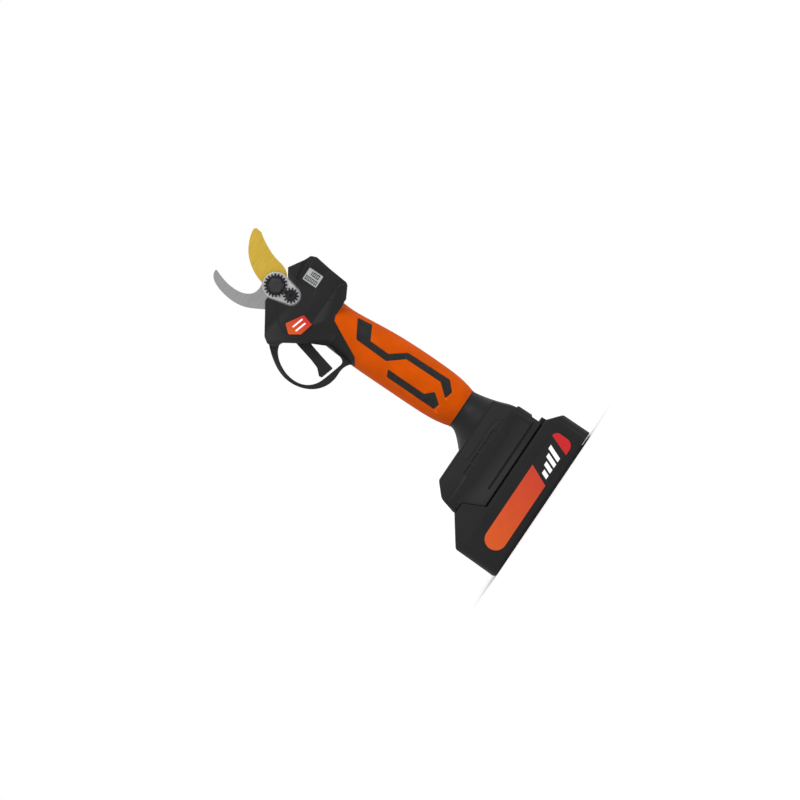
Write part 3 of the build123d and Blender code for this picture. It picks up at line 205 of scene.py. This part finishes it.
def rubber():
    """Soft overmould with a fine pebble texture."""
    m = Nodes("grip_rubber_look", 0.72, specular=0.18)
    m.colour(m.mottle(RUBBER_BLACK, 0.2, 120.0))
    cells = m.add("ShaderNodeTexVoronoi", Scale=1500.0)
    m.link(m.place, cells.inputs["Vector"])
    m.gloss(0.62, 0.82, 300.0)
    m.grain(cells.outputs["Distance"], 0.6, 0.15 * MM)
    return m.material


def ground(name, colour, roughness, along, grain=0.4):
    """Ground or brushed metal, with fine lines that are long in one direction."""
    m = Nodes(name, roughness, metallic=1.0)
    lines = m.noise(1.0, 4.0, m.stretched(along))
    dark = tuple(c * 0.82 for c in colour)
    light = tuple(min(1.0, c * 1.1) for c in colour)
    m.colour(m.mix(m.spread(lines, 0.0, 1.0), dark, light))
    m.gloss(roughness - 0.07, roughness + 0.10, 90.0)
    m.grain(lines, grain, 0.03 * MM)
    return m.material


def cast(name, colour, roughness):
    """Cast or blackened metal with a fine pitted surface."""
    m = Nodes(name, roughness, metallic=0.85)
    m.colour(m.edges(m.mottle(colour, 0.2, 200.0), tuple(c * 2.5 + 0.05 for c in colour), 0.6))
    m.gloss(roughness - 0.08, roughness + 0.08, 500.0)
    m.grain(m.noise(1800.0, 4.0), 0.3, 0.05 * MM)
    return m.material


def faded(name, first, second, start, end):
    """Printed film whose colour runs from first at x = start to second at x = end."""
    m = Nodes(name, 0.34, specular=0.2)
    split = m.tree.nodes.new("ShaderNodeSeparateXYZ")
    m.link(m.place, split.inputs["Vector"])
    ramp = m.tree.nodes.new("ShaderNodeMapRange")
    ramp.inputs["From Min"].default_value = start
    ramp.inputs["From Max"].default_value = end
    m.link(split.outputs["X"], ramp.inputs["Value"])
    colour = m.mix(ramp.outputs["Result"], first, second)
    dirt = m.spread(m.noise(160.0), 0.0, 0.08)
    m.colour(m.mix(dirt, colour, BLACK))
    m.gloss(0.28, 0.42, 200.0)
    m.grain(m.noise(1400.0), 0.15, 0.03 * MM)
    return m.material


def make_materials():
    """One material for each slot in the record, and a few for added pieces."""
    blade_lines = (60.0, 60.0, 2400.0)
    return {
        "black_shell": moulded("black_shell_look", BLACK, 0.50, worn=(0.030, 0.030, 0.032), specular=0.18),
        "orange_shell": moulded("orange_shell_look", ORANGE, 0.58, grain=0.25, specular=0.03),
        "grip_rubber": rubber(),
        "badge_print": faded("badge_look", LABEL_ORANGE, SIGNAL_RED, 0.0, 17 * MM),
        "label_print": faded("label_look", BLACK, BLACK, 0.0, 1.0),
        "stripe": faded("stripe_look", LABEL_ORANGE, LABEL_RED, -47 * MM, 20 * MM),
        "end_mark": faded("end_mark_look", SIGNAL_RED, SIGNAL_RED, 0.0, 1.0),
        "white_print": moulded("white_print_look", WHITE, 0.4, grain=0.1),
        "display_glass": moulded("display_look", GLASS_GREY, 0.22, grain=0.05),
        "segment": moulded("segment_look", (0.03, 0.035, 0.03), 0.3, grain=0.05),
        "board_green": moulded("board_look", (0.01, 0.09, 0.03), 0.4),
        "inner_plastic": moulded("inner_plastic_look", (0.03, 0.03, 0.032), 0.55),
        "blade_coated": ground("blade_coated_look", GOLD, 0.42, blade_lines, 0.2),
        "blade_steel": ground("blade_steel_look", HOOK_GREY, 0.40, blade_lines, 0.3),
        "plate_steel": ground("plate_steel_look", PLATE_GREY, 0.36, (1800.0, 60.0, 90.0), 0.3),
        "dark_steel": cast("dark_steel_look", OXIDE, 0.42),
        # the look of the nut's face plate is a painted highlight
        "nut_face_highlight": cast("nut_face_look", NUT_HIGHLIGHT_GREY, 0.38),
        "gear_steel": ground("gear_steel_look", STEEL, 0.32, (900.0, 900.0, 900.0), 0.3),
        "alloy": cast("alloy_look", ALLOY, 0.45),
        "copper": ground("copper_look", COPPER, 0.35, (900.0, 900.0, 900.0), 0.2),
        "cell_wrap": moulded("cell_wrap_look", (0.01, 0.05, 0.25), 0.3),
    }


LOOKS = make_materials()
SLOTS = {entry["node"]: entry["material_slot"] for entry in frame["record"]["subparts"]}


def wear(piece, look):
    """Gives a piece one look."""
    piece.data.materials.clear()
    piece.data.materials.append(LOOKS[look])
    return piece


# ---------------------------------------------------------------- mesh helpers
SMOOTH_ANGLE = 32.0  # degrees; edges that turn more than this stay sharp, or are rounded
PLATE_ANGLE = 40.0
ROUND_ANGLE = 60.0  # for thin round pieces, such as coils and beads
FLAT_ANGLE = 0.6  # faces that turn less than this are merged
WELD = 0.002 * MM


def smooth_by_angle(mesh, degrees):
    """Smooth shading, with sharp edges kept where faces meet at more than the angle."""
    for polygon in mesh.polygons:
        polygon.use_smooth = True
    mesh.set_sharp_from_angle(angle=math.radians(degrees))


def smooth_skin(node, angle=SMOOTH_ANGLE):
    """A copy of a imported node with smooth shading, which stands for the node."""
    source = frame["nodes"][node]
    mesh = source.data.copy()
    mesh.name = f"{node}_skin"
    work = bmesh.new()
    work.from_mesh(mesh)
    bmesh.ops.remove_doubles(work, verts=work.verts, dist=WELD)
    work.to_mesh(mesh)
    work.free()
    piece = bpy.data.objects.new(f"{node}_skin", mesh)
    bpy.context.scene.collection.objects.link(piece)
    smooth_by_angle(mesh, angle)
    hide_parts(node)
    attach(piece, source["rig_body"])
    return wear(piece, SLOTS[node])


def rounded_skin(node, radius):
    """A smooth skin whose sharp edges are rounded too."""
    piece = smooth_skin(node)
    work = bmesh.new()
    work.from_mesh(piece.data)
    flat = math.radians(FLAT_ANGLE)
    bmesh.ops.dissolve_limit(work, angle_limit=flat, verts=work.verts, edges=work.edges)
    work.to_mesh(piece.data)
    work.free()
    smooth_by_angle(piece.data, SMOOTH_ANGLE)
    bevel = piece.modifiers.new("rounding", "BEVEL")
    bevel.width = radius
    bevel.segments = 2
    bevel.limit_method = "ANGLE"
    bevel.angle_limit = math.radians(SMOOTH_ANGLE)
    bevel.harden_normals = True
    return piece


def plate(name, outline, y, thickness, look, body, round_by=0.0):
    """A thin plate on the -Y or +Y side, from (x, z) corners in mm, standing out from y."""
    work = bmesh.new()
    out = math.copysign(thickness, y)
    base = [work.verts.new((x * MM, y, z * MM)) for x, z in outline]
    face = work.faces.new(base)
    lifted = bmesh.ops.extrude_face_region(work, geom=[face])
    top = [v for v in lifted["geom"] if isinstance(v, bmesh.types.BMVert)]
    bmesh.ops.translate(work, verts=top, vec=(0, out, 0))
    bmesh.ops.recalc_face_normals(work, faces=work.faces)
    rims = [e for e in work.edges if all(v in top for v in e.verts)]
    if round_by:
        bmesh.ops.bevel(work, geom=rims, offset=round_by, segments=2, affect="EDGES", profile=0.5)
    mesh = bpy.data.meshes.new(name)
    work.to_mesh(mesh)
    work.free()
    smooth_by_angle(mesh, PLATE_ANGLE)
    piece = bpy.data.objects.new(name, mesh)
    bpy.context.scene.collection.objects.link(piece)
    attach(piece, body)
    return wear(piece, look)


def arc(centre_x, centre_z, radius, start, end, steps):
    """Points on a round stretch of an outline, in degrees from +X towards +Z."""
    return [
        (centre_x + radius * math.cos(math.radians(a)), centre_z + radius * math.sin(math.radians(a)))
        for a in (start + (end - start) * i / steps for i in range(steps + 1))
    ]


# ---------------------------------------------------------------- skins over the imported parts
ROUNDED = {  # edge radius in mm
    "head_left": 0.9, "head_right": 0.9, "foot_left": 0.9, "foot_right": 0.9,
    "pack_lower_case": 0.7, "pack_upper_case": 0.7, "pack_release": 0.5,
    "inlay_left": 0.3, "inlay_right": 0.3,
    "trigger": 0.9, "fixed_blade": 0.35, "moving_blade": 0.25, "seat_plate": 0.25,
    "pivot_nut": 0.2, "lock_gear": 0.2, "lock_screw": 0.2, "display_bezel": 0.3,
    "badge": 0.3, "gear_housing": 0.6, "pivot_bolt": 0.5, "power_button": 0.5,
    "case_screws": 0.2,
}


def dress_nodes():
    """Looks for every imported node, and rounded skins for those that show."""
    for node, thing in frame["nodes"].items():
        thing.data.materials.clear()
        thing.data.materials.append(LOOKS[SLOTS[node]])
    for node, radius in ROUNDED.items():
        rounded_skin(node, radius * MM)
    for node in ("grip_left", "grip_right"):
        even = smooth_skin(node).modifiers.new("even_shading", "WEIGHTED_NORMAL")
        even.keep_sharp = True


def springs():
    """Skins of the two small coils, each with a mesh of its own."""
    coil = smooth_skin("trigger_spring", ROUND_ANGLE)
    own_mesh(coil)
    coil = smooth_skin("release_spring", ROUND_ANGLE)
    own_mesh(coil)


# ---------------------------------------------------------------- print on the pack
LABEL_LEFT = -47.0
LABEL_LOW, LABEL_HIGH = 7.0, 23.2
LABEL_MIDDLE = (LABEL_LOW + LABEL_HIGH) / 2
LABEL_ROUND = (LABEL_HIGH - LABEL_LOW) / 2
PRINT = 0.06 * MM
CHARGE_BARS = 4
BAR_LEFT, BAR_PITCH, BAR_WIDTH = 16.8, 4.9, 3.2
BAR_FOOT = LABEL_LOW + 2.2
BAR_TALL, BAR_RISE = 5.0, 2.0  # the first bar's height, and how much taller each next one is
BAR_LEAN = 0.42


def charge_bar(x, tall):
    """A leaning bar's corners, from its left foot at x."""
    lean = tall * BAR_LEAN
    top = BAR_FOOT + tall
    return [(x, BAR_FOOT), (x + BAR_WIDTH, BAR_FOOT), (x + BAR_WIDTH + lean, top), (x + lean, top)]


def pack_print():
    """Orange stripe, white charge bars and red end mark, on both sides of the pack."""
    low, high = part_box("pack_label")
    stripe = [(12.6, LABEL_LOW), (20.2, LABEL_HIGH)]
    stripe += arc(LABEL_LEFT + LABEL_ROUND, LABEL_MIDDLE, LABEL_ROUND, 90, 270, 20)
    end_mark = [(39.2, LABEL_LOW), *arc(43.4, LABEL_LOW + 6.0, 6.0, -88, -4, 8)]
    end_mark += [*arc(45.2, LABEL_HIGH - 4.3, 4.3, 0, 88, 6)]
    for side, y in (("left", low.y), ("right", high.y)):
        plate(f"label_stripe_{side}", stripe, y, PRINT, "stripe", "pack")
        plate(f"label_end_{side}", end_mark, y, PRINT, "end_mark", "pack")
        for i in range(CHARGE_BARS):
            bar = charge_bar(BAR_LEFT + BAR_PITCH * i, BAR_TALL + BAR_RISE * i)
            plate(f"charge_bar_{side}_{i + 1}", bar, y, PRINT, "white_print", "pack")


# ---------------------------------------------------------------- display
SEGMENTS = {"0": "abcdef", "1": "bc"}
STROKE = 0.32  # of a digit's width
# inset along X and Z from the glass's corner, pitch, digit width and digit height, in mm
READING = (5.4, 1.8, 2.9, 2.3, 3.4)
COUNTER = (1.0, 1.0, 2.55, 2.0, 3.2)


def digit(name, shown, x, z, width, height, y):
    """A seven-segment digit of thin plates from (x, z) in mm. It reads along -Z and stands up along +X."""
    t = width * STROKE
    half = height / 2
    bars = {
        "a": (0, height - t, width, height), "d": (0, 0, width, t),
        "b": (width - t, half, width, height), "c": (width - t, 0, width, half),
        "f": (0, half, t, height), "e": (0, 0, t, half),
    }
    for key in SEGMENTS[shown]:
        along_low, up_low, along_high, up_high = bars[key]
        corners = [
            (x + up_low, z - along_low), (x + up_low, z - along_high),
            (x + up_high, z - along_high), (x + up_high, z - along_low),
        ]
        plate(f"{name}_{key}", corners, y, PRINT, "segment", "tool")


def display_marks():
    """A reading above a row of small zeros, in the display's reading direction."""
    low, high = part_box("display_glass")
    x0, z1 = low.x / MM, high.z / MM
    for row, shown, sizes in (("reading", "100", READING), ("counter", "0000", COUNTER)):
        inset_x, inset_z, pitch, width, height = sizes
        for i, figure in enumerate(shown):
            digit(f"{row}_{i}", figure, x0 + inset_x, z1 - inset_z - pitch * i, width, height, low.y)


# ---------------------------------------------------------------- badge
def badge_marks():
    """Two plain light bars on the badge."""
    low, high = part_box("badge")
    for i in range(2):
        x, z = 4.4 + 1.2 * i, 217.4 + 3.4 * i
        bar = [(x, z), (x + 8.6, z - 2.6), (x + 8.9, z - 1.5), (x + 0.3, z + 1.1)]
        plate(f"badge_bar_{i + 1}", bar, low.y, PRINT, "white_print", "tool")


# ---------------------------------------------------------------- nut cap
NUT_FACE_RADIUS = 5.6


def nut_face_highlight():
    """A lighter plate over the face of the nut's hexagonal cap: a painted highlight, lighter than the
    oxide finish so that the face looks lit.
    """
    low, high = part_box("pivot_nut")
    x = (low.x + high.x) / 2 / MM
    z = (low.z + high.z) / 2 / MM
    corners = [
        (x + NUT_FACE_RADIUS * math.cos(math.radians(a)), z + NUT_FACE_RADIUS * math.sin(math.radians(a)))
        for a in range(0, 360, 60)
    ]
    # this plate carries a painted highlight over the nut cap's face
    plate("nut_face_highlight", corners, low.y, 0.1 * MM, "nut_face_highlight", "nut", 0.05 * MM)


# ---------------------------------------------------------------- moulded lines
BEAD_STEP = 1.0  # mm between a bead's points
RING_STEPS = 72
OUTSIDE = 0.1  # metres from the middle, well clear of the tool: where rays towards a surface start
OUTER_SIDE = 5 * MM  # a ray's hit nearer to the middle plane than this isn't on the outer side
SEAM_CENTRE_X, SEAM_Z = 25.0, 87.8
SEAM_RADIUS = 0.42 * MM
# paths in mm as (x, z)
COVER_EDGE = (
    (6.9, 168.6), (12.6, 173.0), (17.2, 182.2), (21.7, 191.2), (26.0, 199.5), (29.6, 201.0), (42.0, 200.7)
)
FOOT_PANEL = ((-5.0, 70.4), (-2.9, 63.8), (31.7, 63.8), (33.8, 62.0), (33.8, 54.0), (47.0, 54.0))
FOOT_SEAM = ((-17.0, 50.2), (29.0, 50.2), (34.0, 54.0))
HEAD_CREASE = ((26.7, 219.5), (40.0, 207.2))
HEAD_CHEEK = ((11.8, 240.2), (2.9, 231.7), (-1.6, 223.8))
PACK_CREASE = ((-23.3, 33.0), (-39.0, 26.0))


def surface_of(node):
    """A node's surface as a tree, for finding where rays meet it."""
    work = bmesh.new()
    work.from_mesh(frame["nodes"][node].data)
    tree = BVHTree.FromBMesh(work)
    work.free()
    return tree


def moulded_line(name, node, points, radius, side, body="tool"):
    """A raised bead along (x, z) points in mm, laid on a node's outer side."""
    tree = surface_of(node)
    found = []
    for (x0, z0), (x1, z1) in zip(points, points[1:]):
        steps = max(2, int(math.hypot(x1 - x0, z1 - z0) / BEAD_STEP))
        for k in range(steps):
            x, z = x0 + (x1 - x0) * k / steps, z0 + (z1 - z0) * k / steps
            start = Vector((x * MM, side * OUTSIDE, z * MM))
            hit = tree.ray_cast(start, Vector((0, -side, 0)))
            if hit[0] is not None and side * hit[0].y > OUTER_SIDE:
                found.append(hit[0])
    return bead(name, found, radius, body, False)


def bead(name, points, radius, body, closed):
    """A round black bead through points in metres."""
    curve = bpy.data.curves.new(name, "CURVE")
    curve.dimensions = "3D"
    curve.bevel_depth = radius
    curve.bevel_resolution = 2
    spline = curve.splines.new("POLY")
    spline.points.add(len(points) - 1)
    for point, at in zip(spline.points, points):
        point.co = (*at, 1.0)
    spline.use_cyclic_u = closed
    line = bpy.data.objects.new(name, curve)
    mesh = bpy.data.meshes.new_from_object(line)
    bpy.data.objects.remove(line)
    piece = bpy.data.objects.new(name, mesh)
    bpy.context.scene.collection.objects.link(piece)
    smooth_by_angle(mesh, ROUND_ANGLE)
    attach(piece, body)
    return wear(piece, "black_shell")


def seam_ring(name, nodes, x, z, radius, body="tool"):
    """A dark bead round the handle at height z, both in mm, lying on the outermost of the nodes."""
    trees = [surface_of(node) for node in nodes]
    found = []
    for k in range(RING_STEPS):
        angle = 2 * math.pi * k / RING_STEPS
        out = Vector((math.cos(angle), math.sin(angle), 0))
        start = Vector((x, 0, z)) * MM + out * OUTSIDE
        hits = [tree.ray_cast(start, -out) for tree in trees]
        hits = [hit for hit in hits if hit[0] is not None]
        if hits:
            found.append(min(hits, key=lambda hit: hit[3])[0])
    return bead(name, found, radius, body, True)


def moulded_lines():
    """The lines moulded into head, foot and pack, and the edges of the grip."""
    for side, y in (("left", -1), ("right", 1)):
        moulded_line(f"foot_panel_{side}", f"foot_{side}", FOOT_PANEL, 0.45 * MM, y)
        moulded_line(f"foot_seam_{side}", f"foot_{side}", FOOT_SEAM, 0.4 * MM, y)
        moulded_line(f"head_crease_{side}", f"head_{side}", HEAD_CREASE, 0.4 * MM, y)
        moulded_line(f"head_cheek_{side}", f"head_{side}", HEAD_CHEEK, 0.4 * MM, y)
        moulded_line(f"cover_edge_{side}", f"grip_{side}", COVER_EDGE, 0.55 * MM, y)
        moulded_line(f"pack_crease_{side}", "pack_lower_case", PACK_CREASE, 0.35 * MM, y, body="pack")
    seam_ring("grip_foot_seam", ("grip_left", "grip_right"), SEAM_CENTRE_X, SEAM_Z, SEAM_RADIUS)


# ---------------------------------------------------------------- stage, light and camera
FLOOR_SIZE = 40.0


def sun_light(name, towards, strength, spread):
    """A soft parallel light that shines from the given direction."""
    light = bpy.data.lights.new(name, "SUN")
    light.energy = strength
    light.angle = math.radians(spread)
    thing = bpy.data.objects.new(name, light)
    thing.rotation_euler = (-towards).to_track_quat("-Z", "Y").to_euler()
    bpy.context.scene.collection.objects.link(thing)


def make_stage():
    """A pale floor, an even white world and two soft suns."""
    work = bmesh.new()
    bmesh.ops.create_grid(work, x_segments=2, y_segments=2, size=FLOOR_SIZE / 2)
    mesh = bpy.data.meshes.new("floor")
    work.to_mesh(mesh)
    work.free()
    floor = bpy.data.objects.new("floor", mesh)
    bpy.context.scene.collection.objects.link(floor)
    m = Nodes("floor_look", 0.9, specular=0.1)
    m.colour(m.mottle(FLOOR_WHITE, 0.01, 2.0))
    mesh.materials.append(m.material)
    world = bpy.data.worlds.new("studio")
    world.use_nodes = True
    world.node_tree.nodes["Background"].inputs["Color"].default_value = (1.0, 1.0, 1.0, 1.0)
    world.node_tree.nodes["Background"].inputs["Strength"].default_value = 1.0
    bpy.context.scene.world = world
    bpy.context.scene.view_settings.view_transform = "Standard"
    # the main light comes from the picture's upper left, and a weaker one from its right
    sun_light("key", RIGHT * -0.35 + UP * 0.75 + BACK * 0.75, 1.1, 25.0)
    sun_light("fill", RIGHT * 0.8 + UP * 0.5 + BACK * 0.35, 0.35, 60.0)


def make_camera():
    """A distant camera, square to the tool's left side."""
    data = bpy.data.cameras.new("camera")
    data.lens = LENS
    data.sensor_width = SENSOR
    camera = bpy.data.objects.new("camera", data)
    distance = VIEW_WIDTH * LENS / SENSOR + NEAR_SIDE
    turn = Matrix((RIGHT, UP, BACK)).transposed().to_4x4()
    camera.matrix_world = Matrix.Translation(VIEW_CENTRE + BACK * distance) @ turn
    bpy.context.scene.collection.objects.link(camera)
    bpy.context.scene.camera = camera


dress_nodes()
pack_print()
display_marks()
badge_marks()
nut_face_highlight()
springs()
moulded_lines()
make_stage()
make_camera()
